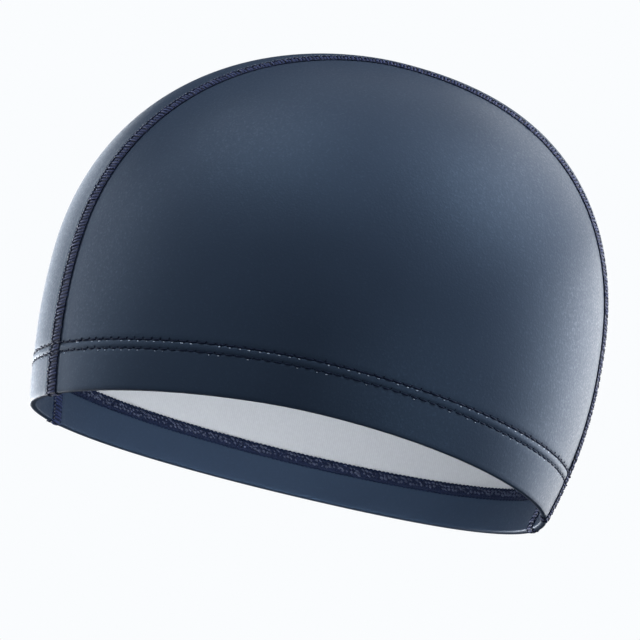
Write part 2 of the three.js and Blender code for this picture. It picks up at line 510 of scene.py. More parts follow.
def laid_mesh(name: str, points: np.ndarray, faces: list[list[int]], finishes: list,
              face_finish: list[int] | None = None) -> bpy.types.Object:
    """A smooth mesh object from points in millimetres.

    Args:
        name: the piece's name.
        points: corner places, by three.
        faces: corner numbers of each face.
        finishes: the piece's materials.
        face_finish: the material number of each face, or None for the first.

    Returns:
        The object, at the origin.
    """
    mesh = bpy.data.meshes.new(name)
    mesh.from_pydata((points * MM).tolist(), [], faces)
    for finish in finishes:
        mesh.materials.append(finish)
    if face_finish is not None:
        mesh.polygons.foreach_set("material_index", face_finish)
    mesh.polygons.foreach_set("use_smooth", [True] * len(mesh.polygons))
    mesh.update()
    piece = bpy.data.objects.new(name, mesh)
    bpy.context.scene.collection.objects.link(piece)
    return piece


def grid_faces(rows: int, columns: int, first: int, flip: bool) -> list[list[int]]:
    """Quads over a grid of corners.

    Args:
        rows: number of rows of corners.
        columns: number of corners in a row.
        first: number of the grid's first corner.
        flip: turns the faces the other way.

    Returns:
        Four corner numbers for each quad.
    """
    corner = first + np.arange(rows * columns).reshape(rows, columns)
    quads = np.stack([corner[:-1, :-1], corner[:-1, 1:], corner[1:, 1:], corner[1:, :-1]], -1)
    quads = quads.reshape(-1, 4)
    return (quads[:, ::-1] if flip else quads).tolist()


def border(rows: int, columns: int) -> np.ndarray:
    """Corner numbers round a grid's border, once round in the sense of its quads."""
    corner = np.arange(rows * columns).reshape(rows, columns)
    return np.concatenate([corner[0, :-1], corner[:-1, -1], corner[-1, :0:-1], corner[:0:-1, 0]])


@dataclass(frozen=True)
class SeamFurrow:
    """The furrow that a seam presses into the cloth beside it, in millimetres."""

    at: float = 3.15  # from the seam's middle
    depth: float = 0.06
    width: float = 0.42
    pillow: float = 0.07
    pillow_out: float = 1.3
    pillow_width: float = 0.9
    scallop: float = 2.1


class ClothPiece:
    """A panel of the coated knit, with its right and its wrong side and its turned-up hem."""

    SEAM_GAP = 0.15  # millimetres, from a seam's middle to the cloth's edge

    def __init__(self, name: str, node: str, form: CapForm, stitching: HemStitching,
                 furrow: SeamFurrow) -> None:
        """Keeps what the piece is cut by.

        Args:
            name: the piece's name.
            node: the solid that it stands for.
            form: the cap's form.
            stitching: the hem's coverstitch.
            furrow: the furrow beside each seam.
        """
        self.name = name
        self.node = node
        self.form = form
        self.stitching = stitching
        self.furrow = furrow

    def stations(self, last_angle: float) -> Stations:
        """Rows from the facing's top round the edge to the last angle of the dome."""
        form = self.form
        foot = form.fold_drop
        facing = np.concatenate([np.linspace(form.hem, 12.0, 5), np.linspace(10.5, foot, 6)[:-1]])
        hem = np.concatenate([np.linspace(foot, 10.5, 9)[1:], np.arange(10.85, 21.6, 0.35),
                              np.linspace(22.2, form.widest_level, 15)])
        dome = np.radians(np.linspace(0, last_angle, 43)[1:])
        return Stations.joined(
            Stations.at(facing, inset=form.facing_inset, turn=math.pi),
            form.fold(11),
            Stations.at(hem),
            Stations.at(form.widest_level, angle=dome),
        )

    def seam_relief(self, places: np.ndarray) -> np.ndarray:
        """Height of the furrow that each seam presses beside its thread.

        Args:
            places: the piece's places, rows by columns, from one seam to the other.

        Returns:
            Heights in millimetres.
        """
        sizes = self.furrow
        step = np.linalg.norm(np.diff(places, axis=1), axis=-1)
        from_first = np.pad(np.cumsum(step, axis=1), ((0, 0), (1, 0))) + self.SEAM_GAP
        total = from_first[:, -1:] + self.SEAM_GAP
        away = np.minimum(from_first, total - from_first)
        run = np.linalg.norm(np.diff(places[:, 0], axis=0), axis=-1)
        run = np.concatenate([[0.0], np.cumsum(run)])[:, None]
        wave = 0.75 + 0.25 * np.cos(2 * math.pi * run / sizes.scallop)
        furrow = -sizes.depth * bump(away - sizes.at, sizes.width) * wave
        pillow = sizes.pillow * bump(away - sizes.at - sizes.pillow_out, sizes.pillow_width)
        return furrow + pillow

    def cloth_mesh(self, rows: Stations, places: np.ndarray, finishes: list) -> bpy.types.Object:
        """The closed cloth over a grid of places, with a right side, a wrong side and a border.

        Args:
            rows: one station for each row.
            places: the grid's places on the form.
            finishes: the materials of the right and of the wrong side.

        Returns:
            The object.
        """
        count, columns = places.shape[:2]
        relief = self.stitching.relief(rows, places) + self.seam_relief(places)
        right = self.form.place(rows, places, relief)
        wrong = self.form.place(rows, places, np.minimum(relief, 0) * 0.5 - self.form.cloth)
        points = np.concatenate([right.reshape(-1, 3), wrong.reshape(-1, 3)])
        size = count * columns
        rim = border(count, columns)
        after = np.roll(rim, -1)
        edge = np.stack([rim, rim + size, after + size, after], -1).tolist()
        faces = grid_faces(count, columns, 0, False) + grid_faces(count, columns, size, True) + edge
        sides = (count - 1) * (columns - 1)
        finish = [0] * sides + [1] * (sides + len(edge))
        piece = laid_mesh(self.name, points, faces, finishes, finish)
        self.add_map(piece, right)
        return piece

    def add_map(self, piece: bpy.types.Object, right: np.ndarray) -> None:
        """Gives the cloth a map in metres: along its courses, and along its wales.

        Args:
            piece: the cloth.
            right: its right side, rows by columns.
        """
        across = np.linalg.norm(np.diff(right, axis=1), axis=-1)
        across = np.pad(np.cumsum(across, axis=1), ((0, 0), (1, 0)))
        middle = right.shape[1] // 2
        across = across - across[:, middle:middle + 1]
        up = np.linalg.norm(np.diff(right[:, middle], axis=0), axis=-1)
        up = np.broadcast_to(np.concatenate([[0.0], np.cumsum(up)])[:, None], across.shape)
        flat = np.stack([across, up], -1).reshape(-1, 2) * MM
        both = np.concatenate([flat, flat])
        corners = np.zeros(len(piece.data.loops), np.int32)
        piece.data.loops.foreach_get("vertex_index", corners)
        layer = piece.data.uv_layers.new(name="cloth_map")
        layer.data.foreach_set("uv", both[corners].astype(np.float32).ravel())

    def finish_piece(self, piece: bpy.types.Object, flat: tuple[float, float], area: float) -> None:
        """Args:
            piece: the cloth.
            flat: width and length of the cut's rectangle, in metres; not used.
            area: the cut's area, in square metres; not used.
        """
        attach(piece, BODY)
        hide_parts(self.node)
        LOG.info("%s: %d faces", piece.name, len(piece.data.polygons))


class SidePanel(ClothPiece):
    """A side panel, from the front seam round the ear to the back seam."""

    FLAT = (0.205, 0.165)
    AREA = 0.0275
    SEAM_SHARE = 0.028  # of the way round, where the columns lie closer together

    def __init__(self, side: Side, form: CapForm, stitching: HemStitching) -> None:
        """Keeps which side the panel is on.

        Args:
            side: the wearer's left or right.
            form: the cap's form.
            stitching: the hem's coverstitch.
        """
        word = side.name.lower()
        super().__init__(f"{word}_panel_cloth", f"{word}_panel", form, stitching, SeamFurrow())
        self.side = side

    def columns(self) -> np.ndarray:
        """Each column's share of the way round, closer together beside the seams."""
        near = np.linspace(0, self.SEAM_SHARE, 15)
        far = np.linspace(self.SEAM_SHARE, 1 - self.SEAM_SHARE, 205)[1:-1]
        return np.concatenate([near, far, 1 - near[::-1]])

    def build(self, finishes: list) -> bpy.types.Object:
        """Makes the panel and puts it on the cap.

        Args:
            finishes: the materials of the right and of the wrong side.

        Returns:
            The object.
        """
        rows = self.stations(89.5)
        places = self.form.panel_rows(rows, self.columns(), self.SEAM_GAP)
        if self.side is Side.RIGHT:
            places = places[:, ::-1] * [-1, 1, 1]
        piece = self.cloth_mesh(rows, places, finishes)
        self.finish_piece(piece, self.FLAT, self.AREA)
        return piece


class CentreStrip(ClothPiece):
    """The strip from the brow over the crown to the nape."""

    FLAT = (0.057, 0.395)
    AREA = 0.0203

    def __init__(self, form: CapForm, stitching: HemStitching) -> None:
        """Names the strip.

        Args:
            form: the cap's form.
            stitching: the hem's coverstitch.
        """
        furrow = SeamFurrow(depth=0.04)
        super().__init__("centre_strip_cloth", "centre_strip", form, stitching, furrow)

    def build(self, finishes: list) -> bpy.types.Object:
        """Makes the strip and puts it on the cap.

        Args:
            finishes: the materials of the right and of the wrong side.

        Returns:
            The object.
        """
        near = np.linspace(-1, -0.8, 13)
        shares = np.concatenate([near, np.linspace(-0.8, 0.8, 41)[1:-1], -near[::-1]])
        rows = self.stations(90.0)
        front = self.form.strip_rows(rows, End.FRONT, shares, self.SEAM_GAP)
        behind = np.arange(len(rows.level) - 2, -1, -1)
        back = self.form.strip_rows(rows.pick(behind), End.BACK, shares, self.SEAM_GAP)
        both = Stations.joined(rows, rows.pick(behind))
        piece = self.cloth_mesh(both, np.concatenate([front, back]), finishes)
        self.finish_piece(piece, self.FLAT, self.AREA)
        return piece


@dataclass(frozen=True)
class ThreadPath:
    """A line that threads are laid along, in millimetres, with its sideways and outward ways."""

    points: np.ndarray
    across: np.ndarray
    outward: np.ndarray
    closed: bool = False

    @property
    def length(self) -> float:
        """Length of the line."""
        line = np.vstack([self.points, self.points[:1]]) if self.closed else self.points
        return float(np.linalg.norm(np.diff(line, axis=0), axis=1).sum())

    def spaced(self, count: int) -> "ThreadPath":
        """The same line with a number of evenly spaced points.

        Args:
            count: number of points, the last one short of the first if the line is closed.

        Returns:
            The new path.
        """
        parts = [self.points, self.across, self.outward]
        if self.closed:
            parts = [np.vstack([part, part[:1]]) for part in parts]
        run = np.linalg.norm(np.diff(parts[0], axis=0), axis=1)
        run = np.concatenate([[0.0], np.cumsum(run)])
        wanted = np.linspace(0, run[-1], count, endpoint=not self.closed)
        points, across, outward = (
            np.stack([np.interp(wanted, run, part[:, axis]) for axis in range(3)], -1)
            for part in parts
        )
        return ThreadPath(points, unit(across), unit(outward), self.closed)

    def object(self, name: str) -> bpy.types.Object:
        """The line as edges with its two ways as attributes, for the thread trees to read."""
        count = len(self.points)
        edges = [(step, step + 1) for step in range(count - 1)]
        if self.closed:
            edges.append((count - 1, 0))
        mesh = bpy.data.meshes.new(name)
        mesh.from_pydata((self.points * MM).tolist(), edges, [])
        for word, vectors in (("across", self.across), ("outward", self.outward)):
            attribute = mesh.attributes.new(word, "FLOAT_VECTOR", "POINT")
            attribute.data.foreach_set("vector", vectors.astype(np.float32).ravel())
        line = bpy.data.objects.new(name, mesh)
        bpy.context.scene.collection.objects.link(line)
        return line

    def band(self, name: str, section: np.ndarray, scallop: tuple[float, float],
             finish: bpy.types.Material) -> bpy.types.Object:
        """A closed band along the line.

        Args:
            name: the piece's name.
            section: corners across and outward, once round.
            scallop: depth of the waves along the band's edges, and their pitch.
            finish: the material.

        Returns:
            The object.
        """
        depth, pitch = scallop
        count, corners = len(self.points), len(section)
        run = np.arange(count) * self.length / count
        spread = 1 + depth * np.cos(2 * math.pi * run / pitch) / np.abs(section[:, 0]).max()
        across = section[None, :, 0] * spread[:, None]
        points = (self.points[:, None] + self.across[:, None] * across[..., None]
                  + self.outward[:, None] * section[None, :, 1, None])
        faces = []
        for row in range(count if self.closed else count - 1):
            here, there = row * corners, (row + 1) % count * corners
            faces += [[here + a, here + (a + 1) % corners, there + (a + 1) % corners, there + a]
                      for a in range(corners)]
        if not self.closed:
            faces.append(list(range(corners))[::-1])
            faces.append([(count - 1) * corners + a for a in range(corners)])
        piece = laid_mesh(name, points.reshape(-1, 3), faces, [finish])
        return outward_faces(piece)


def outward_faces(piece: bpy.types.Object) -> bpy.types.Object:
    """Turns a closed mesh's faces outwards if its volume says that they point in."""
    mesh = piece.data
    corners = np.array([v.co for v in mesh.vertices], float)
    mesh.calc_loop_triangles()
    triangles = np.zeros(3 * len(mesh.loop_triangles), np.int32)
    mesh.loop_triangles.foreach_get("vertices", triangles)
    a, b, c = (corners[triangles[k::3]] for k in range(3))
    if np.einsum("ij,ij->", a, np.cross(b, c)) < 0:
        mesh.flip_normals()
    return piece


def add_node(tree: bpy.types.NodeTree, kind: str, inputs: dict | None = None,
             **settings: object) -> bpy.types.Node:
    """Adds a node with its settings, values and links.

    Args:
        tree: the tree that gets the node.
        kind: the node's type.
        inputs: a value or another node's output for each input, by name or number.
        **settings: the node's own properties.

    Returns:
        The node.
    """
    node = tree.nodes.new(kind)
    for name, value in settings.items():
        setattr(node, name, value)
    for key, value in (inputs or {}).items():
        if isinstance(value, bpy.types.NodeSocket):
            tree.links.new(value, node.inputs[key])
        else:
            node.inputs[key].default_value = value
    return node


def new_thread_tree(name: str, inputs: list[tuple[str, str]]) -> tuple:
    """A geometry tree with a geometry input and output and named inputs.

    Args:
        name: the tree's name.
        inputs: name and socket type of each further input.

    Returns:
        The tree, its input node and its output node.
    """
    tree = bpy.data.node_groups.new(name, "GeometryNodeTree")
    tree.interface.new_socket("Geometry", in_out="INPUT", socket_type="NodeSocketGeometry")
    for word, kind in inputs:
        tree.interface.new_socket(word, in_out="INPUT", socket_type=kind)
    tree.interface.new_socket("Geometry", in_out="OUTPUT", socket_type="NodeSocketGeometry")
    return tree, tree.nodes.new("NodeGroupInput"), tree.nodes.new("NodeGroupOutput")


def math_node(tree: bpy.types.NodeTree, operation: str, *values: object) -> bpy.types.NodeSocket:
    """The result of one sum, product or other operation on values or outputs."""
    inputs = dict(enumerate(values))
    return add_node(tree, "ShaderNodeMath", inputs, operation=operation).outputs[0]


def laid_thread_tree() -> bpy.types.NodeTree:
    """A tree that lays one long thread along a line.

    The thread swings from side to side, arches over the middle of its swing and dips into the
    cloth, each by its own input. Lengths are in metres, and waves are counted in the line's points.
    """
    tree, given, out = new_thread_tree("laid_thread", [
        ("Thread diameter", "NodeSocketFloat"), ("Aside", "NodeSocketFloat"),
        ("Swing", "NodeSocketFloat"), ("Swing points", "NodeSocketFloat"),
        ("Swing phase", "NodeSocketFloat"), ("Height", "NodeSocketFloat"),
        ("Arch", "NodeSocketFloat"), ("Dip", "NodeSocketFloat"),
        ("Dip points", "NodeSocketFloat"), ("Unevenness", "NodeSocketFloat"),
        ("Seed", "NodeSocketFloat"), ("Material", "NodeSocketMaterial"),
    ])
    index = add_node(tree, "GeometryNodeInputIndex").outputs[0]
    turn = math_node(tree, "DIVIDE", index, given.outputs["Swing points"])
    turn = math_node(tree, "MULTIPLY_ADD", turn, math.tau, given.outputs["Swing phase"])
    swing = math_node(tree, "SINE", turn)
    aside = math_node(tree, "MULTIPLY_ADD", swing, given.outputs["Swing"], given.outputs["Aside"])
    square = math_node(tree, "MULTIPLY", swing, swing)
    arch = math_node(tree, "SUBTRACT", 1.0, square)
    height = math_node(tree, "MULTIPLY_ADD", arch, given.outputs["Arch"], given.outputs["Height"])
    beat = math_node(tree, "DIVIDE", index, given.outputs["Dip points"])
    beat = math_node(tree, "COSINE", math_node(tree, "MULTIPLY", beat, math.tau))
    beat = math_node(tree, "MULTIPLY_ADD", beat, 0.5, 0.5)
    dip = math_node(tree, "MULTIPLY", beat, given.outputs["Dip"])
    height = math_node(tree, "SUBTRACT", height, dip)
    position = add_node(tree, "GeometryNodeInputPosition").outputs[0]
    uneven = add_node(tree, "ShaderNodeTexNoise", {
        "Vector": position, "W": given.outputs["Seed"], "Scale": 650.0, "Detail": 1.0,
    }, noise_dimensions="4D").outputs["Color"]
    centred = add_node(tree, "ShaderNodeVectorMath", {0: uneven, 1: (0.5, 0.5, 0.5)},
                       operation="SUBTRACT").outputs[0]
    wobble = add_node(tree, "ShaderNodeVectorMath", {
        0: centred, "Scale": given.outputs["Unevenness"],
    }, operation="SCALE").outputs[0]
    ways = []
    for word, amount in (("across", aside), ("outward", height)):
        way = add_node(tree, "GeometryNodeInputNamedAttribute", {"Name": word},
                       data_type="FLOAT_VECTOR").outputs["Attribute"]
        ways.append(add_node(tree, "ShaderNodeVectorMath", {0: way, "Scale": amount},
                             operation="SCALE").outputs[0])
    offset = ways[0]
    for more in (ways[1], wobble):
        offset = add_node(tree, "ShaderNodeVectorMath", {0: offset, 1: more},
                          operation="ADD").outputs[0]
    line = add_node(tree, "GeometryNodeMeshToCurve", {"Mesh": given.outputs["Geometry"]}).outputs[0]
    line = add_node(tree, "GeometryNodeSetPosition", {
        "Geometry": line, "Offset": offset,
    }).outputs[0]
    radius = math_node(tree, "MULTIPLY", given.outputs["Thread diameter"], 0.5)
    ring = add_node(tree, "GeometryNodeCurvePrimitiveCircle", {"Resolution": 6, "Radius": radius})
    tube = add_node(tree, "GeometryNodeCurveToMesh", {
        "Curve": line, "Profile Curve": ring.outputs[0], "Fill Caps": True,
    }).outputs[0]
    smooth = add_node(tree, "GeometryNodeSetShadeSmooth", {"Geometry": tube}).outputs[0]
    whole = add_node(tree, "GeometryNodeRealizeInstances", {"Geometry": smooth}).outputs[0]
    dressed = add_node(tree, "GeometryNodeSetMaterial", {
        "Geometry": whole, "Material": given.outputs["Material"],
    }).outputs[0]
    tree.links.new(dressed, out.inputs[0])
    return tree


def short_stitch_tree() -> bpy.types.NodeTree:
    """A tree that puts one short arched stitch on each point, along the point's sideways way."""
    tree, given, out = new_thread_tree("short_stitches", [
        ("Thread diameter", "NodeSocketFloat"), ("Stitch length", "NodeSocketFloat"),
        ("Rise", "NodeSocketFloat"), ("Sink", "NodeSocketFloat"), ("Spread", "NodeSocketFloat"),
        ("Seed", "NodeSocketInt"), ("Material", "NodeSocketMaterial"),
    ])
    half = math_node(tree, "MULTIPLY", given.outputs["Stitch length"], 0.5)
    back = math_node(tree, "MULTIPLY", half, -1.0)
    foot = math_node(tree, "MULTIPLY", given.outputs["Sink"], -1.0)
    ends = [
        add_node(tree, "ShaderNodeCombineXYZ", {"X": x, "Z": z}).outputs[0]
        for x, z in ((back, foot), (0.0, given.outputs["Rise"]), (half, foot))
    ]
    arc = add_node(tree, "GeometryNodeCurveQuadraticBezier", {
        "Resolution": 6, "Start": ends[0], "Middle": ends[1], "End": ends[2],
    }).outputs[0]
    radius = math_node(tree, "MULTIPLY", given.outputs["Thread diameter"], 0.5)
    ring = add_node(tree, "GeometryNodeCurvePrimitiveCircle", {"Resolution": 6, "Radius": radius})
    stitch = add_node(tree, "GeometryNodeCurveToMesh", {
        "Curve": arc, "Profile Curve": ring.outputs[0], "Fill Caps": True,
    }).outputs[0]
    ways = [
        add_node(tree, "GeometryNodeInputNamedAttribute", {"Name": word},
                 data_type="FLOAT_VECTOR").outputs["Attribute"]
        for word in ("across", "outward")
    ]
    turned = add_node(tree, "FunctionNodeAxesToRotation", {
        "Primary Axis": ways[1], "Secondary Axis": ways[0],
    }, primary_axis="Z", secondary_axis="X").outputs[0]
    least = math_node(tree, "SUBTRACT", 1.0, given.outputs["Spread"])
    most = math_node(tree, "ADD", 1.0, given.outputs["Spread"])
    size = add_node(tree, "FunctionNodeRandomValue", {
        "Min": least, "Max": most, "Seed": given.outputs["Seed"],
    }, data_type="FLOAT_VECTOR").outputs[0]
    placed = add_node(tree, "GeometryNodeInstanceOnPoints", {
        "Points": given.outputs["Geometry"], "Instance": stitch, "Rotation": turned, "Scale": size,
    }).outputs[0]
    smooth = add_node(tree, "GeometryNodeSetShadeSmooth", {"Geometry": placed}).outputs[0]
    whole = add_node(tree, "GeometryNodeRealizeInstances", {"Geometry": smooth}).outputs[0]
    dressed = add_node(tree, "GeometryNodeSetMaterial", {
        "Geometry": whole, "Material": given.outputs["Material"],
    }).outputs[0]
    tree.links.new(dressed, out.inputs[0])
    return tree


def grown(line: bpy.types.Object, name: str, tree: bpy.types.NodeTree,
          **inputs: object) -> bpy.types.Object:
    """Runs a geometry tree on a line and keeps the result as a plain mesh.

    Args:
        line: the object that the tree reads, which is removed.
        name: the new piece's name.
        tree: the geometry tree.
        **inputs: the tree's inputs by name, with _ for each space.

    Returns:
        The new piece, at the origin.
    """
    modifier = line.modifiers.new(tree.name, "NODES")
    modifier.node_group = tree
    sockets = {item.name: item.identifier for item in tree.interface.items_tree
               if item.item_type == "SOCKET" and item.in_out == "INPUT"}
    for word, value in inputs.items():
        modifier[sockets[word.replace("_", " ")]] = value
    depsgraph = bpy.context.evaluated_depsgraph_get()
    mesh = bpy.data.meshes.new_from_object(line.evaluated_get(depsgraph), depsgraph=depsgraph)
    mesh.name = name
    piece = bpy.data.objects.new(name, mesh)
    bpy.context.scene.collection.objects.link(piece)
    line.modifiers.clear()
    bpy.data.objects.remove(line)
    return outward_faces(piece)


def joined(name: str, pieces: list[bpy.types.Object]) -> bpy.types.Object:
    """Joins plain mesh pieces into one.

    Args:
        name: the new piece's name.
        pieces: the pieces, which are used up.

    Returns:
        The one piece.
    """
    with bpy.context.temp_override(active_object=pieces[0], selected_editable_objects=pieces):
        bpy.ops.object.join()
    pieces[0].name = name
    pieces[0].data.name = name
    return pieces[0]


@dataclass(frozen=True)
class FlatlockSeam:
    """A flatlock seam, in millimetres: bars across it, and knots at the strip's side among pale
    dots, which are painted glints.

    A height is over the cloth's right side, and an inset is from the seam's edge to its middle.
    """

    side: Side
    form: CapForm
    width: float = 6.0
    bar_pitch: float = 1.25
    bar: float = 0.8
    bar_length: float = 4.3
    bar_aside: float = 0.5
    slant: float = 0.07
    bar_rise: float = 0.6
    bar_height: float = 0.12
    knot: float = 0.5
    knot_inset: float = 0.2
    knot_slant: float = 0.6
    dot: float = 0.3
    dot_length: float = 0.36
    dot_inset: float = 0.62
    dot_height: float = 0.42
    looper: float = 0.5
    needle: float = 0.45
    ground_inset: float = 0.5
    ground_top: float = 0.12
    ground_foot: float = -0.25
    points_per_bar: int = 5
    covered_from: float = 12.7

    def stations(self) -> Stations:
        """Rows from under the looper band round the edge to the crown."""
        form = self.form
        foot = form.fold_drop
        wall = np.concatenate([np.linspace(foot, 11, 12)[1:], np.arange(11.3, 22, 0.3),
                               np.linspace(22.5, form.widest_level, 30)])
        dome = np.radians(np.linspace(0, 90, 90)[1:])
        return Stations.joined(
            Stations.at(np.linspace(self.covered_from, foot, 12)[:-1],
                        inset=form.facing_inset, turn=math.pi),
            form.fold(17),
            Stations.at(wall),
            Stations.at(form.widest_level, angle=dome),
        )

    def path(self, rows: Stations, height: float) -> ThreadPath:
        """The seam's middle line at a height over the cloth's right side.

        Args:
            rows: stations from one end to the crown.
            height: height of the line.

        Returns:
            The line from the front over the crown to the back.
        """
        behind = np.arange(len(rows.level) - 2, -1, -1)
        parts = []
        for end, run in ((End.FRONT, rows), (End.BACK, rows.pick(behind))):
            x = run.column(self.form.seam_x(run, end))
            places = self.form.surface(run, end, x + np.array([[-1.0, 0.0, 1.0]]))
            low, high = (self.form.place(run, places, np.full(places.shape[:2], rise))
                         for rise in (height, height + 1.0))
            parts.append((low[:, 1], low[:, 2] - low[:, 0], high[:, 1] - low[:, 1]))
        points, across, outward = (np.concatenate(pair) for pair in zip(*parts))
        if self.side is Side.RIGHT:
            points, across, outward = (part * [-1, 1, 1] for part in (points, across, outward))
        return ThreadPath(points, unit(across), unit(outward))

    def section(self, half: float, top: float, foot: float) -> np.ndarray:
        """The ground's section: flat below, and rounded above with thin edges."""
        shares = np.linspace(-1, 1, 9)
        crown = np.stack([half * shares, foot + (top - foot) * (1 - shares ** 4 * 0.75)], -1)
        return np.concatenate([crown, [[half, foot], [0, foot], [-half, foot]]])

    def bars(self, line: ThreadPath, tree: bpy.types.NodeTree, finish: bpy.types.Material,
             name: str) -> bpy.types.Object:
        """The top looper's slanted bars across the seam, and its knots along the strip's side.

        Args:
            line: the seam's middle line.
            tree: the tree that places short stitches.
            finish: the bars' and knots' material.
            name: the piece's name.

        Returns:
            The bars and knots.
        """
        spaced = line.spaced(round(line.length / self.bar_pitch) + 1)
        along = unit(np.gradient(spaced.points, axis=0))
        ways = [along, spaced.across, spaced.outward]
        points = spaced.points + spaced.outward * self.bar_height + spaced.across * self.bar_aside
        slanted = unit(spaced.across + along * self.slant)
        bars = ThreadPath(scattered(points, ways, 0.12, 7), slanted, spaced.outward)
        edge = self.knot_inset - self.width / 2
        points = spaced.points + spaced.outward * 0.1 + spaced.across * edge
        slanted = unit(spaced.across + along * self.knot_slant)
        knots = ThreadPath(scattered(points, ways, 0.1, 8), slanted, spaced.outward)
        return joined(name, [
            grown(bars.object("line"), "bars", tree, Thread_diameter=self.bar * MM,
                  Stitch_length=self.bar_length * MM, Rise=self.bar_rise * MM, Sink=0.14 * MM,
                  Spread=0.16, Seed=11, Material=finish),
            grown(knots.object("line"), "knots", tree, Thread_diameter=self.knot * MM,
                  Stitch_length=0.4 * MM, Rise=0.3 * MM, Sink=0.1 * MM, Spread=0.2, Seed=12,
                  Material=finish),
        ])

    def build(self, laid: bpy.types.NodeTree, short: bpy.types.NodeTree,
              finishes: "Finishes") -> list[bpy.types.Object]:
        """Lays the seam's threads.

        Args:
            laid: the tree that lays a long thread.
            short: the tree that places short stitches.
            finishes: the cap's materials.

        Returns:
            The seam's pieces.
        """
        word = self.side.name.lower()
        outside = self.path(self.stations(), 0.0)
        bars = round(outside.length / self.bar_pitch / 2) * 2
        fine = outside.spaced(bars * self.points_per_bar + 1)
        half = self.width / 2
        # The ground band in the darker thread colour: painted shade under and between the bars.
        ground = outside.spaced(bars * 2 + 1).band(
            f"{word}_seam_ground",
            self.section(half - self.ground_inset, self.ground_top, self.ground_foot),
            (0.1, 2 * self.bar_pitch), finishes.painted_shade_thread)
        crossing = self.bars(outside, short, finishes.thread, f"{word}_seam_bars")
        # The sunk threads in the darker thread colour: painted shade.
        lines = joined(f"{word}_seam_lines", [
            grown(fine.object("line"), f"line_{number}", laid, Thread_diameter=thick * MM,
                  Aside=aside * MM, Swing=swing * MM, Swing_points=2.0 * self.points_per_bar,
                  Swing_phase=0.0, Height=height * MM, Arch=0.0, Dip=dip * MM,
                  Dip_points=2.0 * self.points_per_bar, Unevenness=0.12 * MM, Seed=5.0 + number,
                  Material=finish)
            for number, (thick, aside, swing, height, dip, finish) in enumerate([
                (self.looper, 0.0, half - 0.5, 0.1, 0.0, finishes.painted_shade_thread),
                (self.needle, 0.9 - half, 0.2, 0.4, 0.3, finishes.painted_shade_thread),
                (self.needle, half - 0.3, 0.08, 0.2, 0.1, finishes.painted_shade_thread),
            ])
        ])
        inside = self.inner(laid, finishes)
        # Pale dots at the strip's edge: painted glints.
        glints = self.painted_glints(outside, short, finishes, f"{word}_seam_painted_glints")
        for piece in (ground, crossing, lines, inside, glints):
            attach(piece, BODY)
            LOG.info("%s: %d faces", piece.name, len(piece.data.polygons))
        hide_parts(f"{word}_seam")
        return [ground, crossing, lines, inside, glints]

    def painted_glints(self, line: ThreadPath, tree: bpy.types.NodeTree, finishes: "Finishes",
                  name: str) -> bpy.types.Object:
        """Pale dots between the loops at the strip's edge: painted glints of the strip's coating.

        Args:
            line: the seam's middle line.
            tree: the tree that places short stitches.
            finishes: the cap's materials.
            name: the piece's name.

        Returns:
            The piece.
        """
        spaced = line.spaced(round(line.length / self.bar_pitch * 2) + 1)
        along = unit(np.gradient(spaced.points, axis=0))
        edge = self.dot_inset - self.width / 2
        points = spaced.points + spaced.across * edge + spaced.outward * self.dot_height
        points = scattered(points, [along, spaced.across], 0.1, 9)
        picked = np.arange(len(points)) % 2 == 1
        dots = ThreadPath(points[picked], along[picked], spaced.outward[picked])
        return grown(dots.object("line"), name, tree, Thread_diameter=self.dot * MM,
                     Stitch_length=self.dot_length * MM, Rise=0.2 * MM, Sink=0.05 * MM,
                     Spread=0.35, Seed=15, Material=finishes.painted_edge_glint)

    def inner(self, tree: bpy.types.NodeTree, finishes: "Finishes") -> bpy.types.Object:
        """The same seam on the cloth's wrong side, from hem to hem."""
        form = self.form
        rows = self.stations()
        above = (rows.turn < 0.01) & (rows.level > form.hem + 1.2)
        line = self.path(rows.pick(above), -form.cloth)
        line = ThreadPath(line.points, line.across, -line.outward)
        bars = round(line.length / self.bar_pitch / 2) * 2
        half = self.width / 2
        word = self.side.name.lower()
        # The inner band in the darker thread colour: painted shade.
        band = line.spaced(bars + 1).band("band", self.section(half - 0.3, 0.3, -0.15), (0.1, 4.2),
                                          finishes.painted_shade_thread)
        thread = grown(line.spaced(bars * 6 + 1).object("line"), "inner", tree,
                       Thread_diameter=self.looper * MM, Aside=0.0, Swing=(half - 0.3) * MM,
                       Swing_points=12.0, Swing_phase=0.0, Height=0.15 * MM, Arch=0.3 * MM, Dip=0.0,
                       Dip_points=1.0, Unevenness=0.15 * MM, Seed=9.0, Material=finishes.thread)
        return joined(f"{word}_seam_inside", [thread, band])


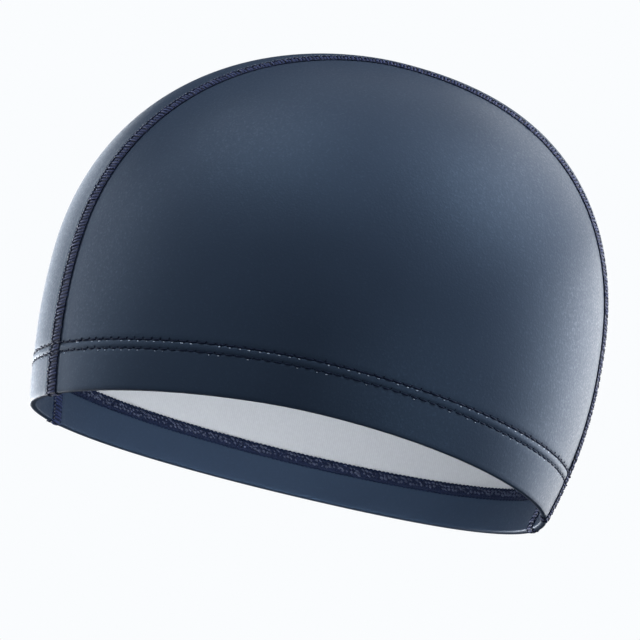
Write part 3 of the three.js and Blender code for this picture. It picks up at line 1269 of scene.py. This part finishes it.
@dataclass(frozen=True)
class HemThreads:
    """The threads of the hem's coverstitch: two needle rows outside and a looper band inside."""

    form: CapForm
    stitching: HemStitching
    needle: float = 0.5
    band_width: float = 4.7
    band_above_hem: float = 0.35
    over_seam: float = 0.58
    in_cloth: float = -0.05
    seam_reach: float = 3.6
    seams_within: float = 40.0  # from the middle, where the hem meets every seam
    tuft: float = 0.34
    tuft_length: float = 0.8
    tuft_above: float = 0.45
    glint_below: float = 0.7

    def ring(self, rows: Stations, height: np.ndarray | float, count: int) -> ThreadPath:
        """A closed line round the hem at one level, with its way along as sideways way.

        Args:
            rows: the one station of the level.
            height: height over the cloth's right side.
            count: number of points, spaced as the stitches are.

        Returns:
            The line, from the front middle by the left.
        """
        half = self.form.hem_ring(rows, 0.5)
        run = self.stitching.along(half[0])
        low = self.form.place(rows, half, np.full(half.shape[:2], height))[0]
        high = self.form.place(rows, half, np.full(half.shape[:2], height + 1.0))[0]
        wanted = np.linspace(0, run[-1], count // 2 + 1)
        low, high = (np.stack([np.interp(wanted, run, part[:, axis]) for axis in range(3)], -1)
                     for part in (low, high))
        low, high = (np.concatenate([part, part[-2:0:-1] * [-1, 1, 1]]) for part in (low, high))
        along = np.roll(low, -1, 0) - np.roll(low, 1, 0)
        return ThreadPath(low, unit(along), unit(high - low), True)

    def rows_outside(self, tree: bpy.types.NodeTree, finishes: "Finishes") -> bpy.types.Object:
        """The two rows of needle stitches, which climb over the seams' threads.

        Args:
            tree: the tree that places stitches.
            finishes: the cap's materials.

        Returns:
            The piece.
        """
        pieces = []
        for number, (level, share, thick) in enumerate((
                (self.form.hem, 0.88, 1.15), (self.form.hem - self.form.gauge, 0.66, 1.0))):
            middles = self.middles(level)
            pieces.append(grown(
                middles.object("row"), f"row_{number}", tree,
                Thread_diameter=self.needle * thick * MM,
                Stitch_length=self.stitching.pitch * share * MM, Rise=0.6 * MM, Sink=0.25 * MM,
                Spread=0.08, Seed=3 + number, Material=finishes.needle_thread))
            ends = self.tufts(level)
            pieces.append(grown(
                ends.object("row"), f"tuft_{number}", tree, Thread_diameter=self.tuft * MM,
                Stitch_length=self.tuft_length * MM, Rise=0.4 * MM, Sink=0.15 * MM, Spread=0.25,
                Seed=13 + number, Material=finishes.needle_thread))
        piece = joined("hem_needle_rows", pieces)
        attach(piece, BODY)
        LOG.info("%s: %d faces", piece.name, len(piece.data.polygons))
        return piece

    def middles(self, level: float, below: float = 0.0) -> ThreadPath:
        """The middles of one row's stitches, on the cloth or on a seam's threads.

        Args:
            level: level of the row.
            below: how far below the row the points lie.

        Returns:
            A point for each stitch, all round.
        """
        rows = Stations.at(level - below)
        path = self.ring(rows, 0.0, 4 * self.stitching.stitches)
        half_way = [part[1::2] for part in (path.points, path.across, path.outward)]
        lifted = half_way[0] + half_way[2] * self.lift(rows, half_way[0])[:, None]
        return ThreadPath(lifted, half_way[1], half_way[2], True)

    def tufts(self, level: float) -> ThreadPath:
        """The places above each needle hole where the thread's loose fibres stand up.

        Args:
            level: level of the row.

        Returns:
            A point for each stitch, with the way up the cap as its sideways way.
        """
        rows = Stations.at(level + self.tuft_above)
        path = self.ring(rows, self.in_cloth, 4 * self.stitching.stitches)
        points, along, outward = (part[::2] for part in (path.points, path.across, path.outward))
        upward = np.cross(along, outward)
        upward *= np.sign(upward[:, 2:3])
        clear = self.lift(Stations.at(level), points) < 0
        ways = [along[clear], upward[clear]]
        points = scattered(points[clear], ways, 0.16, round(level))
        return ThreadPath(points, unit(upward[clear] + along[clear] * 0.4), outward[clear], True)

    def painted_glints(self, tree: bpy.types.NodeTree, finishes: "Finishes") -> bpy.types.Object:
        """Pale flecks below each stitch: painted glints where the coating catches the light.

        Args:
            tree: the tree that places stitches.
            finishes: the cap's materials.

        Returns:
            The piece.
        """
        pieces = []
        for number, (level, thick, kept) in enumerate(
                ((self.form.hem, 0.34, 0.75), (self.form.hem - self.form.gauge, 0.24, 0.5))):
            glints = self.middles(level, below=self.glint_below)
            chosen = np.random.default_rng(number).random(len(glints.points)) < kept
            chosen &= self.lift(Stations.at(level), glints.points) < 0
            points = scattered(glints.points[chosen], [glints.across[chosen]], 0.25, number)
            glints = ThreadPath(points, glints.across[chosen], glints.outward[chosen], True)
            pieces.append(grown(
                glints.object("row"), f"lip_{number}", tree, Thread_diameter=thick * MM,
                Stitch_length=2 * thick * MM, Rise=0.3 * MM, Sink=0.05 * MM, Spread=0.3,
                Seed=31 + number, Material=finishes.painted_stitch_glint))
        piece = joined("hem_painted_glints", pieces)
        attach(piece, BODY)
        LOG.info("%s: %d faces", piece.name, len(piece.data.polygons))
        return piece

    def lift(self, rows: Stations, points: np.ndarray) -> np.ndarray:
        """Height of the stitches' ground: in the cloth's groove, or up on a seam's threads."""
        height = np.full(len(points), self.in_cloth)
        aside = np.abs(points[:, 0])
        for end in End:
            seam = self.form.seam_x(rows, end)[0]
            ahead = np.sign(points[:, 1]) == end.value
            near = (np.abs(aside - seam) < self.seam_reach) & (aside < self.seams_within)
            height = np.where(ahead & near, self.over_seam, height)
        return height

    def band_inside(self, laid: bpy.types.NodeTree, short: bpy.types.NodeTree,
                    finishes: "Finishes") -> bpy.types.Object:
        """The looper band over the facing's raw edge, with dark edges and two rows of knobs.

        Args:
            laid: the tree that lays a long thread.
            short: the tree that places short stitches.
            finishes: the cap's materials.

        Returns:
            The piece.
        """
        form = self.form
        middle = form.hem + self.band_above_hem - self.band_width / 2
        rows = Stations.at(middle, inset=form.facing_inset, turn=math.pi)
        stitches = 2 * self.stitching.stitches
        per_stitch = 12
        ring = self.ring(rows, 0.0, stitches * per_stitch)
        upward = np.cross(ring.across, ring.outward)
        upward *= np.sign(upward[:, 2:3])
        path = ThreadPath(ring.points, unit(upward), ring.outward, True)
        half = self.band_width / 2
        shares = np.linspace(-1, 1, 9)
        crown = np.stack([half * 0.93 * shares, 0.42 - 0.42 * shares ** 4], -1)
        section = np.concatenate([crown, [[half, -0.45], [0, -0.3], [-half, -0.3]]])
        coarse = ThreadPath(path.points[::4], path.across[::4], path.outward[::4], True)
        # The band's ground and its zigzag thread in the darker thread colour: painted shade.
        pieces = [coarse.band("band_ground", section, (0.22, self.stitching.pitch),
                              finishes.painted_shade_thread)]
        for number, (aside, swing, thick, height, finish) in enumerate((
                (half - 0.3, 0.2, 0.7, 0.3, finishes.needle_thread),
                (0.35 - half, 0.12, 0.7, 0.3, finishes.needle_thread),
                (0.1, 1.4, 0.5, 0.35, finishes.painted_shade_thread))):
            pieces.append(grown(
                path.object("line"), f"looper_{number}", laid, Thread_diameter=thick * MM,
                Aside=aside * MM, Swing=swing * MM, Swing_points=per_stitch / 2, Swing_phase=0.0,
                Height=height * MM, Arch=0.1 * MM, Dip=0.0, Dip_points=1.0,
                Unevenness=0.2 * MM, Seed=20.0 + number, Material=finish))
        for number, (aside, first, length, thick) in enumerate((
                (1.0, 0, 1.0, 0.62), (-0.3, 3, 0.75, 0.8))):
            points, across, along, outward = (
                part[first::per_stitch // 2]
                for part in (path.points, path.across, ring.across, path.outward))
            points = points + across * aside + outward * 0.4
            points = scattered(points, [across, along, outward], 0.22, 40 + number)
            knobs = ThreadPath(points, unit(along + across * 0.5), outward, True)
            pieces.append(grown(
                knobs.object("line"), f"knob_{number}", short,
                Thread_diameter=thick * MM, Stitch_length=length * MM, Rise=0.7 * MM, Sink=0.1 * MM,
                Spread=0.3, Seed=27 + number, Material=finishes.looper_thread))
        piece = joined("hem_looper_threads", pieces)
        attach(piece, BODY)
        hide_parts("hem_looper_band")
        LOG.info("%s: %d faces", piece.name, len(piece.data.polygons))
        return piece


def outward_way(azimuth: float, elevation: float) -> Vector:
    """The unit vector from the cap towards a place round it.

    Args:
        azimuth: angle round the cap, in radians: 0 the near side, a quarter turn the front.
        elevation: angle above the level, in radians.

    Returns:
        The vector.
    """
    level = math.cos(elevation)
    return Vector((math.cos(azimuth) * level, -math.sin(azimuth) * level, math.sin(elevation)))


def linear(hex_colour: str, alpha: float = 1.0) -> tuple[float, float, float, float]:
    """An sRGB hex colour as linear values.

    Args:
        hex_colour: the colour, such as "#202a40".
        alpha: the fourth value.

    Returns:
        Red, green, blue and alpha.
    """
    parts = [int(hex_colour[k:k + 2], 16) / 255 for k in (1, 3, 5)]
    flat = [v / 12.92 if v <= 0.04045 else ((v + 0.055) / 1.055) ** 2.4 for v in parts]
    return (*flat, alpha)


@dataclass(frozen=True)
class CoatedKnit:
    """Nylon and elastane knit with a transfer-coated polyurethane film on its right side.

    The film is satin: it blurs reflections, brightens towards the edge of the form, and is grained
    by the knit below it, which breaks each highlight into fine specks.
    """

    low: str = "#253041"
    high: str = "#2b3749"
    cloud: float = 28.0  # millimetres from shade to shade
    roughness: float = 0.45
    grain: float = 0.8  # millimetres, drawn coarser than the real 0.3 to show
    grain_depth: float = 0.08
    ior: float = 1.32
    tint: str = "#a0ceff"  # of what it reflects head on

    def material(self) -> bpy.types.Material:
        """The material of the cloth's right side."""
        material = bpy.data.materials.new("coated_knit_satin")
        material.use_nodes = True
        tree = material.node_tree
        tree.nodes.clear()
        place = add_node(tree, "ShaderNodeTexCoord").outputs["Object"]
        cloud = add_node(tree, "ShaderNodeTexNoise", {
            "Vector": place, "Scale": 1 / (self.cloud * MM), "Detail": 3.0,
        }).outputs[0]
        colour = add_node(tree, "ShaderNodeMix", {
            0: cloud, 6: linear(self.low), 7: linear(self.high),
        }, data_type="RGBA").outputs[2]
        specks = add_node(tree, "ShaderNodeTexNoise", {
            "Vector": place, "Scale": 1 / (self.grain * MM), "Detail": 2.0, "Roughness": 0.6,
        }).outputs[0]
        glint = add_node(tree, "ShaderNodeMapRange", {
            "Value": specks, 1: 0.56, 2: 0.72, 3: 0.48, 4: 0.8,
        }).outputs[0]
        rough = add_node(tree, "ShaderNodeMapRange", {
            "Value": specks, 1: 0.3, 2: 0.7, 3: self.roughness + 0.06, 4: self.roughness - 0.08,
        }).outputs[0]
        relief = add_node(tree, "ShaderNodeBump", {
            "Height": specks, "Strength": 0.55, "Distance": self.grain_depth * MM,
        }).outputs[0]
        shader = add_node(tree, "ShaderNodeBsdfPrincipled", {
            "Base Color": colour, "Roughness": rough, "Normal": relief, "IOR": self.ior,
            "Specular Tint": linear(self.tint), "Specular IOR Level": glint,
        })
        add_node(tree, "ShaderNodeOutputMaterial", {"Surface": shader.outputs[0]})
        return material


@dataclass(frozen=True)
class KnitReverse:
    """The knit's uncoated wrong side: fine pale loops, matt, with faint wales."""

    low: str = "#9ca0a6"
    high: str = "#abafb5"
    wale: float = 0.8  # millimetres, drawn coarser than the real 0.4 to show
    course: float = 0.65
    fuzz: float = 1.2

    def material(self) -> bpy.types.Material:
        """The material of the cloth's wrong side."""
        material = bpy.data.materials.new("jersey_reverse_nylon")
        material.use_nodes = True
        tree = material.node_tree
        tree.nodes.clear()
        flat = add_node(tree, "ShaderNodeUVMap", uv_map="cloth_map").outputs[0]
        parts = add_node(tree, "ShaderNodeSeparateXYZ", {0: flat}).outputs
        waves = []
        for part, pitch in ((parts[0], self.wale), (parts[1], self.course)):
            turn = math_node(tree, "MULTIPLY", part, math.tau / (pitch * MM))
            waves.append(math_node(tree, "SINE", turn))
        loops = math_node(tree, "MULTIPLY", waves[0], waves[1])
        loops = math_node(tree, "MULTIPLY_ADD", waves[0], 0.6, loops)
        place = add_node(tree, "ShaderNodeTexCoord").outputs["Object"]
        fuzz = add_node(tree, "ShaderNodeTexNoise", {
            "Vector": place, "Scale": 1 / (self.fuzz * MM), "Detail": 3.0,
        }).outputs[0]
        height = math_node(tree, "MULTIPLY_ADD", loops, 0.35, fuzz)
        # The colour follows the height: partly random tone from the fuzz, partly darker between the
        # loops as painted shade.
        shade = add_node(tree, "ShaderNodeMapRange", {"Value": height, 1: 0.0, 2: 1.1}).outputs[0]
        colour = add_node(tree, "ShaderNodeMix", {
            0: shade, 6: linear(self.low), 7: linear(self.high),
        }, data_type="RGBA").outputs[2]
        relief = add_node(tree, "ShaderNodeBump", {
            "Height": height, "Strength": 0.35, "Distance": 0.06 * MM,
        }).outputs[0]
        shader = add_node(tree, "ShaderNodeBsdfPrincipled", {
            "Base Color": colour, "Roughness": 0.9, "Normal": relief,
            "Sheen Weight": 0.25, "Sheen Roughness": 0.5,
        })
        add_node(tree, "ShaderNodeOutputMaterial", {"Surface": shader.outputs[0]})
        return material


@dataclass(frozen=True)
class PolyesterThread:
    """Textured polyester sewing thread: soft, matt and slightly hairy, with a faint sheen."""

    name: str
    low: str
    high: str
    roughness: float = 0.62
    sheen: float = 0.04
    fibre: float = 0.45  # millimetres
    tint: str = "#8494c2"

    def material(self) -> bpy.types.Material:
        """The thread's material."""
        material = bpy.data.materials.new(self.name)
        material.use_nodes = True
        tree = material.node_tree
        tree.nodes.clear()
        place = add_node(tree, "ShaderNodeTexCoord").outputs["Object"]
        fibre = add_node(tree, "ShaderNodeTexNoise", {
            "Vector": place, "Scale": 1 / (self.fibre * MM), "Detail": 3.0, "Roughness": 0.65,
        }).outputs[0]
        colour = add_node(tree, "ShaderNodeMix", {
            0: fibre, 6: linear(self.low), 7: linear(self.high),
        }, data_type="RGBA").outputs[2]
        relief = add_node(tree, "ShaderNodeBump", {
            "Height": fibre, "Strength": 0.5, "Distance": 0.08 * MM,
        }).outputs[0]
        shader = add_node(tree, "ShaderNodeBsdfPrincipled", {
            "Base Color": colour, "Roughness": self.roughness, "Normal": relief,
            "Sheen Weight": self.sheen, "Sheen Roughness": 0.45, "Sheen Tint": linear(self.tint),
            "Specular Tint": linear(self.tint), "Specular IOR Level": 0.25,
        })
        add_node(tree, "ShaderNodeOutputMaterial", {"Surface": shader.outputs[0]})
        return material


@dataclass(frozen=True)
class PaintedGlint:
    """Pale, glossy flecks in film colours: painted glints where the coating would catch the light.
    """

    name: str
    colour: str
    roughness: float = 0.3

    def material(self) -> bpy.types.Material:
        """The painted glint's material."""
        material = bpy.data.materials.new(self.name)
        material.use_nodes = True
        shader = material.node_tree.nodes["Principled BSDF"]
        shader.inputs["Base Color"].default_value = linear(self.colour)
        shader.inputs["Roughness"].default_value = self.roughness
        return material


class Finishes:
    """The cap's materials."""

    def __init__(self) -> None:
        """Makes each material once."""
        self.right_side = CoatedKnit().material()
        self.wrong_side = KnitReverse().material()
        self.thread = PolyesterThread("polyester_looper_thread", "#121a35", "#39436a").material()
        # A darker copy of the looper thread: painted shade on the seams' ground, their sunk
        # threads, and the looper band's ground.
        self.painted_shade_thread = PolyesterThread("polyester_thread_painted_shade", "#0e1425", "#1a2137",
                                             sheen=0.05).material()
        self.needle_thread = PolyesterThread("polyester_needle_thread", "#08101f", "#131d34",
                                             sheen=0.05).material()
        self.looper_thread = PolyesterThread("woolly_nylon_thread", "#1a2134", "#535b70",
                                             roughness=0.75).material()
        # Pale flecks in film colours: painted glints, below the hem stitches and at the seams'
        # strip side.
        self.painted_stitch_glint = PaintedGlint("painted_stitch_glint_film", "#a6b9d4").material()
        # Pale dots at the seams' strip side: painted glints.
        self.painted_edge_glint = PaintedGlint("painted_edge_glint_film", "#6a7484").material()


@dataclass(frozen=True)
class SoftBox:
    """A soft rectangular light that points at the cap, in metres, degrees and watts.

    Azimuth 0 is the camera's side of the cap, 90 its front and 180 its far side.
    """

    azimuth: float
    elevation: float
    size: tuple[float, float]
    watts: float
    tint: str = "#ffffff"

    def place(self, target: Vector, distance: float) -> Vector:
        """Where the light stands."""
        way = outward_way(math.radians(self.azimuth), math.radians(self.elevation))
        return target + way * distance


LEVEL, HIGH, LOW = (0.7, 1.0), (1.0, 0.8), (0.9, 0.8)


@dataclass(frozen=True)
class Studio:
    """The camera, the lights and the pale surroundings, in metres and degrees."""

    soft_boxes: tuple[SoftBox, ...] = (
        SoftBox(142, -15, LOW, 29, "#fafcff"),
        SoftBox(108, -10, LOW, 2.5),
        SoftBox(-35, -15, LOW, 5.5),
        SoftBox(45, -15, LOW, 1.5),
        SoftBox(-60, 50, HIGH, 16),
        SoftBox(20, 50, HIGH, 4),
        SoftBox(60, 50, HIGH, 9),
        SoftBox(-120, 50, HIGH, 8),
        SoftBox(0, 90, (1.0, 1.0), 3),
        SoftBox(-145, 10, LEVEL, 9),
        SoftBox(-115, 10, LEVEL, 17),
        SoftBox(-90, 10, LEVEL, 12),
        SoftBox(90, 10, LEVEL, 7),
        SoftBox(125, 10, LEVEL, 4, "#ecf5ff"),
        SoftBox(150, 10, LEVEL, 8, "#ecf5ff"),
    )
    light_distance: float = 1.4

    target: Vector = Vector((0.0, 0.003, 0.070))
    distance: float = 1.0
    azimuth: float = 2.43
    elevation: float = -16.08
    roll: float = 12.96
    lens: float = 156.9
    sensor: float = 36.0
    picture: int = 640
    target_at: tuple[float, float] = (338.5, 282.4)
    floor_at: float = -3.0  # below the camera, which looks up at the cap
    floor_half: float = 0.6
    floor_light_above: float = 0.5
    floor_light_watts: float = 18.0

    def camera(self) -> bpy.types.Object:
        """A camera at the photograph's place, turned as it was held."""
        around, up, turn = (math.radians(v) for v in (self.azimuth, self.elevation, self.roll))
        out = outward_way(around, up)
        right = Vector((math.sin(around), math.cos(around), 0))
        above = out.cross(right)
        own_x = right * math.cos(turn) + above * math.sin(turn)
        own_y = above * math.cos(turn) - right * math.sin(turn)
        place = self.target + out * self.distance
        per_pixel = self.sensor / self.lens / self.picture * self.distance
        aside = self.target_at[0] - self.picture / 2
        raised = self.picture / 2 - self.target_at[1]
        aim = self.target - own_x * (aside * per_pixel) - own_y * (raised * per_pixel)
        back = (place - aim).normalized()
        own_y = (own_y - back * own_y.dot(back)).normalized()
        own_x = own_y.cross(back)
        data = bpy.data.cameras.new("camera")
        data.lens, data.sensor_width = self.lens, self.sensor
        data.clip_start, data.clip_end = 0.01, 100.0
        camera = bpy.data.objects.new("camera", data)
        bpy.context.scene.collection.objects.link(camera)
        turned = Matrix((own_x, own_y, back)).transposed().to_4x4()
        camera.matrix_world = Matrix.Translation(place) @ turned
        bpy.context.scene.camera = camera
        return camera

    def light(self, name: str, place: Vector, size: tuple[float, float], watts: float,
              aim: Vector | None = None, tint: str = "#ffffff") -> None:
        """A soft rectangular light.

        Args:
            name: its name.
            place: where it stands.
            size: its width and height.
            watts: its power.
            aim: what it points at, or None for the cap.
            tint: its colour.
        """
        data = bpy.data.lights.new(name, "AREA")
        data.shape = "RECTANGLE"
        data.size, data.size_y = size
        data.energy = watts
        data.color = linear(tint)[:3]
        lamp = bpy.data.objects.new(name, data)
        lamp.location = place
        way = (self.target if aim is None else aim) - place
        lamp.rotation_euler = way.to_track_quat("-Z", "Y").to_euler()
        lamp.visible_camera = False
        bpy.context.scene.collection.objects.link(lamp)

    def surroundings(self) -> None:
        """A pale floor and a pale room, which is dimmer in reflections than it looks."""
        half = self.floor_half
        corners = np.array([[-half, -half], [half, -half], [half, half], [-half, half]]) / MM
        points = np.column_stack([corners, np.full(4, self.floor_at / MM)])
        paper = bpy.data.materials.new("matt_white_paper")
        paper.use_nodes = True
        tree = paper.node_tree
        tree.nodes["Principled BSDF"].inputs["Base Color"].default_value = linear("#f4f6f8")
        tree.nodes["Principled BSDF"].inputs["Roughness"].default_value = 0.9
        floor = laid_mesh("floor", points, [[0, 1, 2, 3]], [paper])
        world = bpy.data.worlds.new("room")
        world.use_nodes = True
        tree = world.node_tree
        tree.nodes.clear()
        seen = add_node(tree, "ShaderNodeLightPath").outputs["Is Camera Ray"]
        room, backdrop = (
            add_node(tree, "ShaderNodeBackground", {
                "Color": linear(colour), "Strength": strength,
            }).outputs[0]
            for colour, strength in (("#dfe6f0", 0.02), ("#fafcfe", 1.0)))
        both = add_node(tree, "ShaderNodeMixShader", {0: seen, 1: room, 2: backdrop})
        add_node(tree, "ShaderNodeOutputWorld", {"Surface": both.outputs[0]})
        bpy.context.scene.world = world

    def build(self) -> None:
        """Sets the camera, the lights and the surroundings."""
        self.camera()
        self.surroundings()
        for number, box in enumerate(self.soft_boxes):
            place = box.place(self.target, self.light_distance)
            self.light(f"soft_box_{number}", place, box.size, box.watts, tint=box.tint)
        low = Vector((0.0, 0.0, self.floor_at))
        above = low + Vector((0.0, 0.0, self.floor_light_above))
        side = 4 * self.floor_half
        self.light("floor_light", above, (side, side), self.floor_light_watts, low)
        self.light("under_crown", Vector((0.0, 0.003, 0.01)), (0.06, 0.09), 0.05)
        self.light("inner_fill", Vector((0.02, -0.008, -0.005)), (0.07, 0.04), 0.105,
                   Vector((-0.07, -0.01, 0.012)))
        scene = bpy.context.scene
        scene.view_settings.view_transform = "Standard"
        scene.view_settings.look = "None"


def main() -> None:
    """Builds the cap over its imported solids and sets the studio."""
    logging.basicConfig(level=logging.INFO, format="%(message)s")
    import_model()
    Studio().build()
    form = CapForm.from_frame()
    stitching = HemStitching(form)
    finishes = Finishes()
    sides = [finishes.right_side, finishes.wrong_side]
    for side in Side:
        SidePanel(side, form, stitching).build(sides)
    CentreStrip(form, stitching).build(sides)
    laid, short = laid_thread_tree(), short_stitch_tree()
    for side in Side:
        FlatlockSeam(side, form).build(laid, short, finishes)
    threads = HemThreads(form, stitching)
    threads.band_inside(laid, short, finishes)
    threads.rows_outside(short, finishes)
    threads.painted_glints(short, finishes)


if __name__ == "__main__":
    main()
